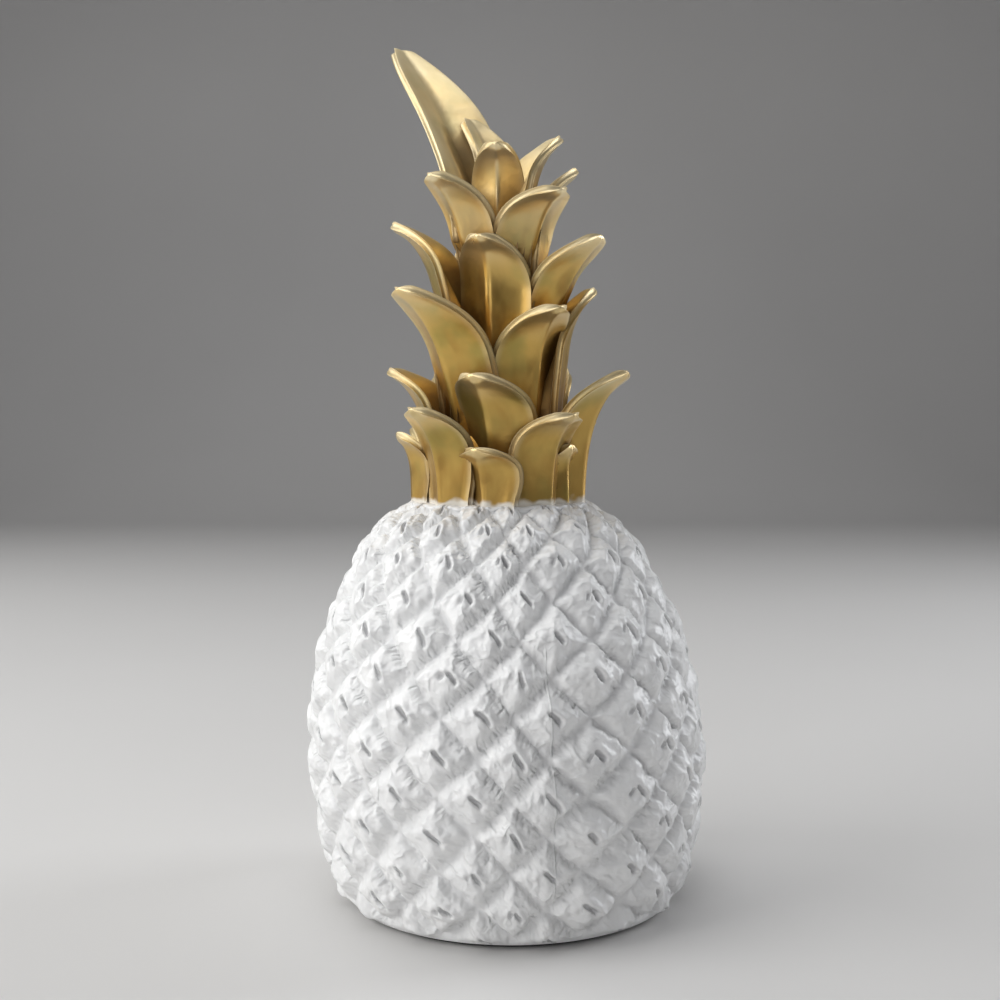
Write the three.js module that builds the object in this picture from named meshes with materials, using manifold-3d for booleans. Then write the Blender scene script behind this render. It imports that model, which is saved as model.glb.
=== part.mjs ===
import * as THREE from 'three';
import { mergeVertices } from 'three/addons/utils/BufferGeometryUtils.js';
import Module from 'manifold-3d';

const wasm = await Module();
wasm.setup();

// Driving sizes in millimetres: the rest face is z = 0 and the front is toward -Y
const bodyHeight = 139;
const bodyRadius = 70;
const crownHeight = 163;
const crownRadius = 31;
const crownShift = -4;
const fruitletRelief = 3.2;
const rimLift = 0.6;
const footThickness = 1.5;
const footInset = 5;
const seam = 0.3;
const facetSlack = 0.1;
const socketDepth = 14;
const spigotRadius = 12;
const leafEdge = 2.2;
const leafRoot = 9.5;

// Side profile of the body, from the foot rim to the seat of the crown
const profileHeightShares = [0, 0.03, 0.1, 0.2, 0.3, 0.42, 0.55, 0.68, 0.8, 0.9, 0.97, 1];
const profileRadiusShares = [0.836, 0.88, 0.936, 0.97, 0.997, 1, 0.97, 0.91, 0.798, 0.695, 0.555, 0.449];

// Fruitlet lattice: two families of grooves cross and leave a diamond boss in each cell
const fruitletsRound = 16;
const columnDegrees = 360 / fruitletsRound;
const fruitletRows = 12.16;
const bottomRow = -1.14;
const stepsPerFruitlet = 4;
const halfCellShare = 0.5;
const rowSkewShare = 0.44;
const twistShare = 0.008;
const twistMiddleRow = 5;
const firstColumnDegrees = -2.3;
const squeezeDegrees = 3.6;
const squeezeAtDegrees = 17;
const squeezeSpreadDegrees = 15;
const halfTurnDegrees = 180;
const bossFullnessShare = 0.62;
const unevenShare = 0.09;
const unevenColumnTurns = 12.99;
const unevenRowTurns = 78.23;
const unevenSpreadShare = 437.58;
const smoothRimRowShare = 0.45;
const smoothSeatRowShare = 0.4;
const plainRimShare = 0.55;
const plainSeatShare = 1;
const peakShare = 0.06;

// Marks on each fruitlet: a bract with two legs over a slit, made by moving points in the cell.
// Columns: steps across and along from the middle; where the point goes, right of the middle as a
// share of the cell and up as a share of a row; how far it stands out, as a share of the relief
const markTable = [
  [0, -1, -0.015, 0.15, 0.14],
  [0, 0, 0.06, 0.02, 0.1],
  [0, 1, 0.135, -0.15, 0.05],
  [-1, -1, -0.09, -0.09, 0.06],
  [-1, 0, 0.012, -0.09, -0.42],
  [-1, 1, 0, -0.36, 0.08],
];
const markFields = ['across', 'along', 'right', 'up', 'out'];
const marks = markTable.map((row) => Object.fromEntries(
  row.map((value, index) => [markFields[index], value]),
));

// Leaf blade: a folded gouge with its keel outside, swept along a spine that curls outward
const stationShares = [0, 0.3, 0.55, 0.77, 0.93, 1];
const outerShares = [-1, -0.55, 0, 0.55, 1];
const innerShares = [0.84, 0, -0.84];
const foldShare = 0.5;
const foldPowerShare = 1.25;
const dishShare = 0.07;
const rootThinPowerShare = 1.5;
const rootDropShare = 0.1;
const edgeTuckShare = 0.12;
const rootWidthShare = 0.78;
const widestShare = 0.42;
const taperPowerShare = 2.3;
const tipWidthShare = 0.18;
const rootThinShare = 0.55;
const lowHandleShare = 0.45;
const highHandleShare = 0.38;
const rootLeanDegrees = 2;

// Crown core: a stepped stem, as shares of the crown's radius and height
const coreRadiusShares = [0.82, 0.7, 0.58, 0.44, 0.3, 0.14];
const coreHeightShares = [0, 0.07, 0.16, 0.32, 0.47, 0.6];
const coreFacets = 18;
const footFacets = 48;

// Leaves from the outermost row to the innermost, each row from the front to the back.
// Columns: name; where the keel stands and where it faces, in degrees from the front toward +X;
// seat, foot, tip, reach and half width as shares of the crown; lean of the tip in degrees
const leafTable = [
  ['row1_front', -10, -34, 0.985, 0, 0.11, 0.19, 0.37, 44],
  ['row1_left', -82, -81, 0.99, 0, 0.138, 0.19, 0.355, 47],
  ['row1_back_left', -152, -156, 0.985, 0, 0.12, 0.2, 0.37, 46],
  ['row1_back_right', 140, 144, 0.985, 0, 0.14, 0.22, 0.37, 48],
  ['row2_front_left', -41, -44, 0.99, 0, 0.187, 0.42, 0.37, 60],
  ['row2_front_right', 35, 43, 0.98, 0, 0.175, 0.355, 0.42, 66],
  ['row2_right', 74, 65, 0.99, 0, 0.264, 0.52, 0.42, 55],
  ['row2_back_right', 118, 122, 0.98, 0, 0.17, 0.26, 0.4, 56],
  ['row2_back', 176, 172, 0.985, 0, 0.19, 0.42, 0.4, 60],
  ['row2_back_left', -128, -132, 0.98, 0, 0.155, 0.26, 0.42, 54],
  ['row1_right', 55, 56, 0.93, 0, 0.118, 0.06, 0.3, 26],
  ['row3_front', -7, -32, 0.87, 0.058, 0.255, 0.39, 0.47, 56],
  ['row3_left', -81, -106, 0.81, 0.083, 0.27, 0.47, 0.42, 60],
  ['row3_back_left', -150, -146, 0.83, 0.07, 0.27, 0.45, 0.45, 58],
  ['row3_back_right', 144, 147, 0.83, 0.07, 0.28, 0.42, 0.45, 58],
  ['row4_front_left', -46, -49, 0.725, 0.12, 0.426, 0.74, 0.52, 63],
  ['row4_front_right', 34, 36, 0.74, 0.12, 0.39, 0.42, 0.45, 68],
  ['row4_right', 84, 106, 0.76, 0.163, 0.442, 0.355, 0.39, 47],
  ['row4_back', 172, 176, 0.73, 0.13, 0.41, 0.6, 0.48, 60],
  ['row4_back_left', -124, -128, 0.73, 0.13, 0.4, 0.38, 0.45, 56],
  ['row5_front', -13, -24, 0.58, 0.304, 0.537, 0.26, 0.435, 60],
  ['row5_left', -80, -106, 0.69, 0.33, 0.574, 0.55, 0.42, 65],
  ['row5_right', 66, 52, 0.69, 0.33, 0.54, 0.61, 0.355, 50],
  ['row5_back_right', 118, 122, 0.62, 0.3, 0.54, 0.5, 0.42, 56],
  ['row5_back_left', -164, -166, 0.6, 0.3, 0.56, 0.5, 0.42, 56],
  ['row6_front_left', -46, -47, 0.52, 0.44, 0.66, 0.52, 0.355, 66],
  ['row6_front_right', 43, 41, 0.53, 0.44, 0.629, 0.48, 0.42, 72],
  ['row6_right', 84, 102, 0.55, 0.44, 0.69, 0.355, 0.355, 53],
  ['row6_back', 168, 170, 0.5, 0.44, 0.66, 0.5, 0.38, 58],
  ['row6_back_left', -128, -130, 0.5, 0.46, 0.64, 0.26, 0.36, 50],
  ['row7_front', -4, -4, 0.32, 0.53, 0.727, 0.26, 0.29, 65],
  ['row7_right', 80, 112, 0.37, 0.54, 0.76, 0.37, 0.39, 47],
  ['row7_inner', -149, -137, 0.19, 0.58, 0.813, 0.435, 0.27, 48],
  ['row7_tall', -114, -140, 0.42, 0.54, 0.99, 1.26, 0.48, 47],
];
const leafFields = [
  'name', 'at', 'faces', 'seatShare', 'footShare', 'tipShare', 'reachShare', 'widthShare', 'lean',
];
const leaves = leafTable.map((row) => Object.fromEntries(
  row.map((value, index) => [leafFields[index], value]),
));

const footRadius = bodyRadius * profileRadiusShares[0] - footInset;

const resin = { color: 0xeeeeec, roughness: 0.38, metalness: 0 };
const gold = { color: 0xbf9b57, roughness: 0.36, metalness: 0.85 };
const felt = { color: 0x2b2a2c, roughness: 0.95, metalness: 0 };

const group = new THREE.Group();

function addPiece(name, geometry, finish) {
  const material = new THREE.MeshStandardMaterial(finish);
  const mesh = new THREE.Mesh(geometry, material);
  mesh.name = name;
  group.add(mesh);
  return mesh;
}

// A closed skin through rings of equal count, with a point that closes each end
function closedSkin(rings, firstPoint, lastPoint) {
  const count = rings[0].length;
  const points = [...rings.flat(), firstPoint, lastPoint];
  const firstIndex = rings.length * count;
  const lastIndex = firstIndex + 1;
  const faces = [];
  for (let row = 1; row < rings.length; row += 1) {
    const low = (row - 1) * count;
    const high = row * count;
    for (let column = 0; column < count; column += 1) {
      const next = (column + 1) % count;
      faces.push(low + column, low + next, high + next);
      faces.push(low + column, high + next, high + column);
    }
  }
  const topRing = (rings.length - 1) * count;
  for (let column = 0; column < count; column += 1) {
    const next = (column + 1) % count;
    faces.push(firstIndex, next, column);
    faces.push(lastIndex, topRing + column, topRing + next);
  }
  const geometry = new THREE.BufferGeometry().setFromPoints(points);
  geometry.setIndex(faces);
  geometry.computeVertexNormals();
  return geometry;
}

function compassPoint(degrees, radius, height) {
  const angle = THREE.MathUtils.degToRad(degrees);
  return new THREE.Vector3(radius * Math.sin(angle), -radius * Math.cos(angle), height);
}

// Body profile as a smooth curve in radius and height
const profilePoints = profileHeightShares.map((heightShare, index) => new THREE.Vector2(
  bodyRadius * profileRadiusShares[index],
  rimLift + (bodyHeight - rimLift) * heightShare,
));
const profile = new THREE.SplineCurve(profilePoints);

// Hand-made unevenness: a steady number from -0.5 to 0.5 for each fruitlet
function unevenness(column, row) {
  const wave = Math.sin(column * unevenColumnTurns + row * unevenRowTurns) * unevenSpreadShare;
  return wave - Math.floor(wave) - 0.5;
}

// Where a lattice place lies round the body. The columns twist a little more toward both ends,
// and crowd together beside the two seams of the mould
function columnAngle(column, row) {
  const twist = twistShare * (row - twistMiddleRow) ** 2;
  const even = firstColumnDegrees + columnDegrees * (column - rowSkewShare * row + twist);
  const turnsAway = (even - squeezeAtDegrees) / halfTurnDegrees;
  const away = halfTurnDegrees * (turnsAway - Math.round(turnsAway));
  return even - squeezeDegrees * Math.exp(-((away / squeezeSpreadDegrees) ** 2));
}

// The body leans toward the crown's foot, which stands beside the middle of the foot
function leaning(point, leanHeight) {
  point.x += crownShift * (leanHeight / bodyHeight);
  return point;
}

// A point on the body at a lattice column and row, standing out from the profile's groove depth
function bodyPoint(column, row, heightShare) {
  const share = THREE.MathUtils.clamp((row - bottomRow) / fruitletRows, 0, 1);
  const place = profile.getPointAt(share);
  const along = profile.getTangentAt(share);
  const depth = fruitletRelief * (heightShare - 1);
  const radius = place.x + along.y * depth;
  const point = compassPoint(columnAngle(column, row), radius, place.y - along.x * depth);
  return leaning(point, place.y);
}

// How far a place in a cell stands out: a pyramid with its peak above the middle, fuller than
// flat faces would be
function bossShare(across, along) {
  const edge = Math.max(
    (across - peakShare) / (halfCellShare - peakShare),
    (peakShare - across) / (halfCellShare + peakShare),
    (along + peakShare) / (halfCellShare + peakShare),
    (-peakShare - along) / (halfCellShare - peakShare),
  );
  return Math.max(0, 1 - edge) ** bossFullnessShare;
}

// Where a lattice point goes on its fruitlet, and how far it stands out there
function fruitletPoint(column, row, relief) {
  const middleColumn = Math.round(column);
  const middleSlanted = Math.round(column - row);
  const middleRow = middleColumn - middleSlanted;
  const across = column - middleColumn;
  const along = column - row - middleSlanted;
  const mark = marks.find((entry) => entry.across === Math.round(across * stepsPerFruitlet)
    && entry.along === Math.round(along * stepsPerFruitlet));
  const place = { column, row, out: 0 };
  if (mark) {
    const markRow = middleRow + mark.up;
    const markColumn = middleColumn + mark.right + rowSkewShare * mark.up;
    place.row = THREE.MathUtils.lerp(row, markRow, relief);
    place.column = THREE.MathUtils.lerp(column, markColumn, relief);
    place.out = mark.out;
  }
  const toRight = place.column - middleColumn;
  const toLeft = place.column - place.row - middleSlanted;
  const uneven = unevenness(middleColumn % fruitletsRound, middleRow);
  place.out = bossShare(toRight, toLeft) * (1 + unevenShare * uneven) + place.out;
  return place;
}

function bodyRow(row) {
  const topRow = bottomRow + fruitletRows;
  const rimFade = THREE.MathUtils.smoothstep(row, bottomRow, bottomRow + smoothRimRowShare);
  const seatFade = THREE.MathUtils.smoothstep(topRow - row, 0, smoothSeatRowShare);
  const plainShare = row < twistMiddleRow ? plainRimShare : plainSeatShare;
  const relief = rimFade * seatFade;
  const ring = [];
  for (let step = 0; step < fruitletsRound * stepsPerFruitlet; step += 1) {
    const place = fruitletPoint(step / stepsPerFruitlet, row, relief);
    const share = THREE.MathUtils.lerp(plainShare, place.out, relief);
    ring.push(bodyPoint(place.column, place.row, share));
  }
  return ring;
}

function plainRing(row, radius, height, leanHeight) {
  const ring = [];
  for (let step = 0; step < fruitletsRound * stepsPerFruitlet; step += 1) {
    const angle = columnAngle(step / stepsPerFruitlet, row);
    ring.push(leaning(compassPoint(angle, radius, height), leanHeight));
  }
  return ring;
}

function bodyGeometry() {
  const recessRadius = footRadius + seam;
  const recessHeight = footThickness + seam;
  const socketRadius = spigotRadius + seam;
  const socketFloor = bodyHeight - socketDepth;
  const topRow = bottomRow + fruitletRows;
  const firstStep = Math.ceil(bottomRow * stepsPerFruitlet);
  const lastStep = Math.round(topRow * stepsPerFruitlet) - 1;
  const rings = [
    plainRing(bottomRow, recessRadius, recessHeight, 0),
    plainRing(bottomRow, recessRadius, rimLift, 0),
    bodyRow(bottomRow),
  ];
  for (let step = firstStep; step <= lastStep; step += 1) {
    rings.push(bodyRow(step / stepsPerFruitlet));
  }
  rings.push(bodyRow(topRow));
  rings.push(plainRing(topRow, socketRadius, bodyHeight, bodyHeight));
  rings.push(plainRing(topRow, socketRadius, socketFloor, bodyHeight));
  const recessCentre = new THREE.Vector3(0, 0, recessHeight);
  const socketCentre = new THREE.Vector3(crownShift, 0, socketFloor);
  return closedSkin(rings, recessCentre, socketCentre);
}

// Blade width along the spine: narrow at the foot, widest below the middle, tapered to a blunt tip
function bladeShare(share) {
  if (share < widestShare) {
    return rootWidthShare + (1 - rootWidthShare) * Math.sin((share / widestShare) * (Math.PI / 2));
  }
  const toTip = (share - widestShare) / (1 - widestShare);
  return tipWidthShare + (1 - tipWidthShare) * (1 - toTip ** taperPowerShare);
}

function leafSpine(leaf) {
  const foot = bodyHeight + seam + crownHeight * leaf.footShare;
  const tip = bodyHeight + crownHeight * leaf.tipShare;
  const rise = tip - foot;
  const reach = crownRadius * leaf.reachShare;
  const rootLean = THREE.MathUtils.degToRad(rootLeanDegrees);
  const tipLean = THREE.MathUtils.degToRad(leaf.lean);
  const rootAim = new THREE.Vector2(Math.sin(rootLean), Math.cos(rootLean));
  const tipAim = new THREE.Vector2(Math.sin(tipLean), Math.cos(tipLean));
  const start = new THREE.Vector2(0, foot);
  const end = new THREE.Vector2(reach, tip);
  const low = start.clone().addScaledVector(rootAim, lowHandleShare * rise);
  const high = end.clone().addScaledVector(tipAim, -highHandleShare * rise);
  return new THREE.CubicBezierCurve(start, low, high, end);
}

function leafGeometry(leaf, grow) {
  const spine = leafSpine(leaf);
  const seat = compassPoint(leaf.at, crownRadius * leaf.seatShare, 0);
  seat.x += crownShift;
  const outward = compassPoint(leaf.faces, 1, 0);
  const sideways = new THREE.Vector3(-outward.y, outward.x, 0);
  const rings = [];
  stationShares.forEach((share) => {
    const aim = spine.getTangent(share);
    const stretch = grow * Math.sign(Math.floor(share) + Math.ceil(share) - 1);
    const drop = share === 0 ? crownHeight * Math.min(leaf.footShare, rootDropShare) : 0;
    const keel = spine.getPoint(share).addScaledVector(aim, stretch - drop);
    const halfWidth = crownRadius * leaf.widthShare * bladeShare(share) + grow;
    const rootShare = Math.max(0, 1 - share / rootThinShare);
    const thickness = leafEdge + (leafRoot - leafEdge) * rootShare ** rootThinPowerShare;
    const place = (across, inset) => {
      const lateral = halfWidth * across * (1 - edgeTuckShare * across ** 2);
      const dish = dishShare * halfWidth * Math.sin(Math.PI * Math.abs(across));
      const depth = foldShare * halfWidth * Math.abs(across) ** foldPowerShare + dish + inset;
      const point = seat.clone().addScaledVector(sideways, lateral);
      point.addScaledVector(outward, keel.x - aim.y * depth);
      point.z = keel.y + aim.x * depth;
      return point;
    };
    const outer = outerShares.map((across) => place(across, -grow));
    const inner = innerShares.map((across) => place(across, thickness + grow));
    rings.push([...outer, ...inner]);
  });
  return closedSkin(rings, middle(rings[0]), middle(rings[rings.length - 1]));
}

function middle(points) {
  const sum = new THREE.Vector3();
  points.forEach((point) => sum.add(point));
  return sum.divideScalar(points.length);
}

function coreGeometry(grow) {
  const base = bodyHeight + seam;
  const points = [new THREE.Vector2(0, base - grow)];
  coreRadiusShares.forEach((radiusShare, index) => {
    const height = base + crownHeight * coreHeightShares[index];
    const lift = index === 0 ? -grow : grow;
    points.push(new THREE.Vector2(crownRadius * radiusShare + grow, height + lift));
  });
  points.push(new THREE.Vector2(0, points[points.length - 1].y));
  const geometry = new THREE.LatheGeometry(points, coreFacets);
  geometry.rotateX(Math.PI / 2);
  geometry.translate(crownShift, 0, 0);
  return geometry;
}

function spigotGeometry() {
  const foot = bodyHeight - socketDepth + seam;
  const top = bodyHeight + seam + spigotRadius;
  const geometry = new THREE.CylinderGeometry(spigotRadius, spigotRadius, top - foot, coreFacets);
  geometry.rotateX(Math.PI / 2);
  geometry.translate(crownShift, 0, (top + foot) / 2);
  return geometry;
}

function toSolid(geometry) {
  const bare = geometry.clone();
  bare.deleteAttribute('normal');
  bare.deleteAttribute('uv');
  const merged = mergeVertices(bare);
  return new wasm.Manifold(new wasm.Mesh({
    numProp: 3,
    vertProperties: new Float32Array(merged.attributes.position.array),
    triVerts: new Uint32Array(merged.index.array),
  }));
}

// The largest body of a solid, as a three.js geometry
function toGeometry(solid) {
  const bodies = solid.simplify(facetSlack).decompose();
  bodies.sort((first, second) => second.volume() - first.volume());
  const mesh = bodies[0].getMesh();
  const geometry = new THREE.BufferGeometry();
  geometry.setAttribute('position', new THREE.BufferAttribute(mesh.vertProperties, 3));
  geometry.setIndex(new THREE.BufferAttribute(mesh.triVerts, 1));
  geometry.computeVertexNormals();
  return geometry;
}

// White cast body and the felt foot under it
addPiece('white_body', bodyGeometry(), resin);
const footGeometry = new THREE.CylinderGeometry(footRadius, footRadius, footThickness, footFacets);
footGeometry.rotateX(Math.PI / 2);
footGeometry.translate(0, 0, footThickness / 2);
addPiece('felt_foot', footGeometry, felt);

// Gold core, whose spigot stands in the body's socket
const core = toSolid(coreGeometry(0)).add(toSolid(spigotGeometry()));
addPiece('crown_core', toGeometry(core), gold);

// Leaves, each cut clear of the core and of the leaves outside it
let taken = toSolid(coreGeometry(seam));
leaves.forEach((leaf) => {
  const blade = toSolid(leafGeometry(leaf, 0)).subtract(taken);
  addPiece(`leaf_${leaf.name}`, toGeometry(blade), gold);
  taken = taken.add(toSolid(leafGeometry(leaf, seam))).simplify(facetSlack);
});

export default group;
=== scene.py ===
import math

import bpy
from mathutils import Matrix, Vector
from mathutils.bvhtree import BVHTree


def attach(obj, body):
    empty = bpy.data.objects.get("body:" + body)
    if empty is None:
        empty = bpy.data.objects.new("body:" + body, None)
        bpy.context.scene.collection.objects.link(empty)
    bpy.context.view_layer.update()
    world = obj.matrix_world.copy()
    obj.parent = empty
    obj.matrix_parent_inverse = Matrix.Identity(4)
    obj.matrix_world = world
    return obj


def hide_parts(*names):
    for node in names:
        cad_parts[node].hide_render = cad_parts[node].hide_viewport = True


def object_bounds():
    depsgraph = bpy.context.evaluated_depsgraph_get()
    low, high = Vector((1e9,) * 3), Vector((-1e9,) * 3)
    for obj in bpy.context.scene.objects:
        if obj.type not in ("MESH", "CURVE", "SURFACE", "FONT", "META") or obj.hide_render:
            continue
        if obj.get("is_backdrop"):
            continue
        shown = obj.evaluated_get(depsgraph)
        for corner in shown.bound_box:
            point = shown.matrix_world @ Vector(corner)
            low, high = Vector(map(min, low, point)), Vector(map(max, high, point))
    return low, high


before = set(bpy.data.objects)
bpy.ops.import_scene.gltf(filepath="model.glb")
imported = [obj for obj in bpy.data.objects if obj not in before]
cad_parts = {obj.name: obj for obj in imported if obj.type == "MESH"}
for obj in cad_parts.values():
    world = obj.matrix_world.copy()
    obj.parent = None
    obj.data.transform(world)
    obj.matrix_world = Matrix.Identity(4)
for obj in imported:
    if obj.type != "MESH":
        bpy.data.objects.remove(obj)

cad_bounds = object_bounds()

# Driving sizes in metres, as in the part's source: the rest face is z = 0, the front is toward -Y
MM = 0.001
BODY_HEIGHT = 139 * MM
BODY_RADIUS = 70 * MM
CROWN_HEIGHT = 163 * MM
CROWN_RADIUS = 31 * MM
CROWN_SHIFT = -4 * MM
FRUITLET_RELIEF = 3.2 * MM
RIM_LIFT = 0.6 * MM
FOOT_THICKNESS = 1.5 * MM
FOOT_INSET = 5 * MM
SEAM = 0.3 * MM
SOCKET_DEPTH = 14 * MM
SPIGOT_RADIUS = 12 * MM
LEAF_EDGE = 2.2 * MM
LEAF_ROOT = 9.5 * MM

# Side profile of the body, from the foot rim to the seat of the crown
PROFILE_HEIGHT_SHARES = [0, 0.03, 0.1, 0.2, 0.3, 0.42, 0.55, 0.68, 0.8, 0.9, 0.97, 1]
PROFILE_RADIUS_SHARES = [
    0.836, 0.88, 0.936, 0.97, 0.997, 1, 0.97, 0.91, 0.798, 0.695, 0.555, 0.449,
]
PROFILE_DIVISIONS = 600

# Fruitlet lattice, as in the part's source, with many more steps in each cell
FRUITLETS_ROUND = 16
COLUMN_ANGLE = 2 * math.pi / FRUITLETS_ROUND
FRUITLET_ROWS = 12.16
BOTTOM_ROW = -1.14
TOP_ROW = BOTTOM_ROW + FRUITLET_ROWS
ROW_SKEW_SHARE = 0.44
TWIST_SHARE = 0.008
TWIST_MIDDLE_ROW = 5
FIRST_COLUMN_ANGLE = math.radians(-2.3)
SQUEEZE_ANGLE = math.radians(3.6)
SQUEEZE_AT = math.radians(17)
SQUEEZE_SPREAD = math.radians(15)
STEPS_ACROSS = 30
STEPS_UP = 16
GATHER_ACROSS_SHARE = 0.45
GATHER_UP_SHARE = 0.35
MARK_COLUMN_SHARE = 0.05
MARK_ROW_SHARE = -0.04

# Leaf blade, as in the part's source, with many more stations
LEAF_STATIONS = 48
OUTER_POINTS = 25
INNER_POINTS = 17
RIM_POINTS = 5
FOLD_SHARE = 0.5
FOLD_POWER = 1.25
DISH_SHARE = 0.1
EDGE_TUCK_SHARE = 0.12
ROOT_WIDTH_SHARE = 0.78
WIDEST_SHARE = 0.42
TAPER_POWER = 2.3
TIP_WIDTH_SHARE = 0.18
ROOT_THIN_SHARE = 0.55
ROOT_THIN_POWER = 1.5
ROOT_DROP_SHARE = 0.1
LOW_HANDLE_SHARE = 0.45
HIGH_HANDLE_SHARE = 0.38
ROOT_LEAN = 2

# Rolled rim of each leaf, and its tip, which flattens and ends in a round cap
RIM_THICKNESS = 2.5 * MM
RIM_START_SHARE = 0.7
# The rim mark rises across these shares of the blade; the gold paint lightens it as a painted
# highlight
RIM_PAINT_SHARES = (0.84, 1.0)
TIP_FLAT_SHARE = 0.7
TIP_FLAT_START_SHARE = 0.45
TALL_FLAT_START_SHARES = {"row7_tall": 0.1}
TIP_CAP = 2.6 * MM
TIP_STEPS = 7
TIP_CENTRE_SHARE = 0.2
TIP_KNOB = 0.35 * MM
TIP_KNOB_SHARE = 0.12
CAP_END_SHARE = 0.02

# Hidden root of each leaf: how far it runs down and lies back behind the leaves below
FOOT_SINK = 3.2 * MM
ROOT_LONG = 8 * MM
SHORT_ROOTS = {"row7_tall": 0.5 * MM}
ROOT_DIP = 1.8 * MM
ROOT_DIP_SHARES = (0.0, 0.45)
DEEP_ROOTS = {"row6_front_left": (4.5 * MM, (0.12, 0.38))}

# Columns: name; where the keel stands and where it faces, in degrees from the front toward +X;
# seat, foot, tip, reach and half width as shares of the crown; lean of the tip in degrees
LEAF_TABLE = [
    ("row1_front", -10, -34, 0.985, 0, 0.11, 0.19, 0.37, 44),
    ("row1_left", -82, -81, 0.99, 0, 0.138, 0.19, 0.355, 47),
    ("row1_back_left", -152, -156, 0.985, 0, 0.12, 0.2, 0.37, 46),
    ("row1_back_right", 140, 144, 0.985, 0, 0.14, 0.22, 0.37, 48),
    ("row2_front_left", -41, -44, 0.99, 0, 0.187, 0.42, 0.37, 60),
    ("row2_front_right", 35, 43, 0.98, 0, 0.175, 0.355, 0.42, 66),
    ("row2_right", 74, 65, 0.99, 0, 0.264, 0.52, 0.42, 55),
    ("row2_back_right", 118, 122, 0.98, 0, 0.17, 0.26, 0.4, 56),
    ("row2_back", 176, 172, 0.985, 0, 0.19, 0.42, 0.4, 60),
    ("row2_back_left", -128, -132, 0.98, 0, 0.155, 0.26, 0.42, 54),
    ("row1_right", 55, 56, 0.93, 0, 0.118, 0.06, 0.3, 26),
    ("row3_front", -7, -32, 0.87, 0.058, 0.255, 0.39, 0.47, 56),
    ("row3_left", -81, -106, 0.81, 0.083, 0.27, 0.47, 0.42, 60),
    ("row3_back_left", -150, -146, 0.83, 0.07, 0.27, 0.45, 0.45, 58),
    ("row3_back_right", 144, 147, 0.83, 0.07, 0.28, 0.42, 0.45, 58),
    ("row4_front_left", -46, -49, 0.725, 0.12, 0.426, 0.74, 0.52, 63),
    ("row4_front_right", 34, 36, 0.74, 0.12, 0.39, 0.42, 0.45, 68),
    ("row4_right", 84, 106, 0.76, 0.163, 0.442, 0.355, 0.39, 47),
    ("row4_back", 172, 176, 0.73, 0.13, 0.41, 0.6, 0.48, 60),
    ("row4_back_left", -124, -128, 0.73, 0.13, 0.4, 0.38, 0.45, 56),
    ("row5_front", -13, -24, 0.58, 0.304, 0.537, 0.26, 0.435, 60),
    ("row5_left", -80, -106, 0.69, 0.33, 0.574, 0.55, 0.42, 65),
    ("row5_right", 66, 52, 0.69, 0.33, 0.54, 0.61, 0.355, 50),
    ("row5_back_right", 118, 122, 0.62, 0.3, 0.54, 0.5, 0.42, 56),
    ("row5_back_left", -164, -166, 0.6, 0.3, 0.56, 0.5, 0.42, 56),
    ("row6_front_left", -46, -47, 0.52, 0.44, 0.66, 0.52, 0.355, 66),
    ("row6_front_right", 43, 41, 0.53, 0.44, 0.629, 0.48, 0.42, 72),
    ("row6_right", 84, 102, 0.55, 0.44, 0.69, 0.355, 0.355, 53),
    ("row6_back", 168, 170, 0.5, 0.44, 0.66, 0.5, 0.38, 58),
    ("row6_back_left", -128, -130, 0.5, 0.46, 0.64, 0.26, 0.36, 50),
    ("row7_front", -4, -4, 0.32, 0.53, 0.727, 0.26, 0.29, 65),
    ("row7_right", 80, 112, 0.37, 0.54, 0.76, 0.37, 0.39, 47),
    ("row7_inner", -149, -137, 0.19, 0.58, 0.813, 0.435, 0.27, 48),
    ("row7_tall", -114, -140, 0.42, 0.54, 0.99, 1.26, 0.48, 47),
]
LEAF_FIELDS = ("name", "at", "faces", "seat", "foot", "tip", "reach", "width", "lean")
LEAVES = [dict(zip(LEAF_FIELDS, row)) for row in LEAF_TABLE]

FOOT_RADIUS = BODY_RADIUS * PROFILE_RADIUS_SHARES[0] - FOOT_INSET


# Sockets of the Mix node that carry colours
MIX_COLOR_SOCKETS = (6, 7)
MIX_COLOR_RESULT = 2


class Wire:
    """A node's socket: arithmetic on it adds Math nodes to its tree."""

    def __init__(self, graph, socket):
        self.graph = graph
        self.socket = socket

    def math(self, operation, *others):
        sockets = dict(enumerate((self, *others)))
        return self.graph.add("ShaderNodeMath", {"operation": operation}, sockets)

    def flipped(self, operation, other):
        sockets = {0: other, 1: self}
        return self.graph.add("ShaderNodeMath", {"operation": operation}, sockets)

    def __add__(self, other):
        return self.math("ADD", other)

    def __sub__(self, other):
        return self.math("SUBTRACT", other)

    def __mul__(self, other):
        return self.math("MULTIPLY", other)

    def __truediv__(self, other):
        return self.math("DIVIDE", other)

    def __pow__(self, other):
        return self.math("POWER", other)

    def __radd__(self, other):
        return self.flipped("ADD", other)

    def __rsub__(self, other):
        return self.flipped("SUBTRACT", other)

    def __rmul__(self, other):
        return self.flipped("MULTIPLY", other)

    def __rtruediv__(self, other):
        return self.flipped("DIVIDE", other)

    def __neg__(self):
        return self.math("MULTIPLY", -1)

    def __abs__(self):
        return self.math("ABSOLUTE")

    def __round__(self):
        return self.math("ROUND")

    def at_least(self, other):
        return self.math("MAXIMUM", other)

    def at_most(self, other):
        return self.math("MINIMUM", other)

    def bell(self, width):
        """One at zero, falling off smoothly past the given width."""
        scaled = self / width
        return (-(scaled * scaled)).math("EXPONENT")

    def fade(self, start, end):
        """Zero at the start value and one at the end value, with a smooth run between."""
        settings = {"interpolation_type": "SMOOTHSTEP"}
        sockets = {"Value": self, "From Min": start, "From Max": end}
        return self.graph.add("ShaderNodeMapRange", settings, sockets)


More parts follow.
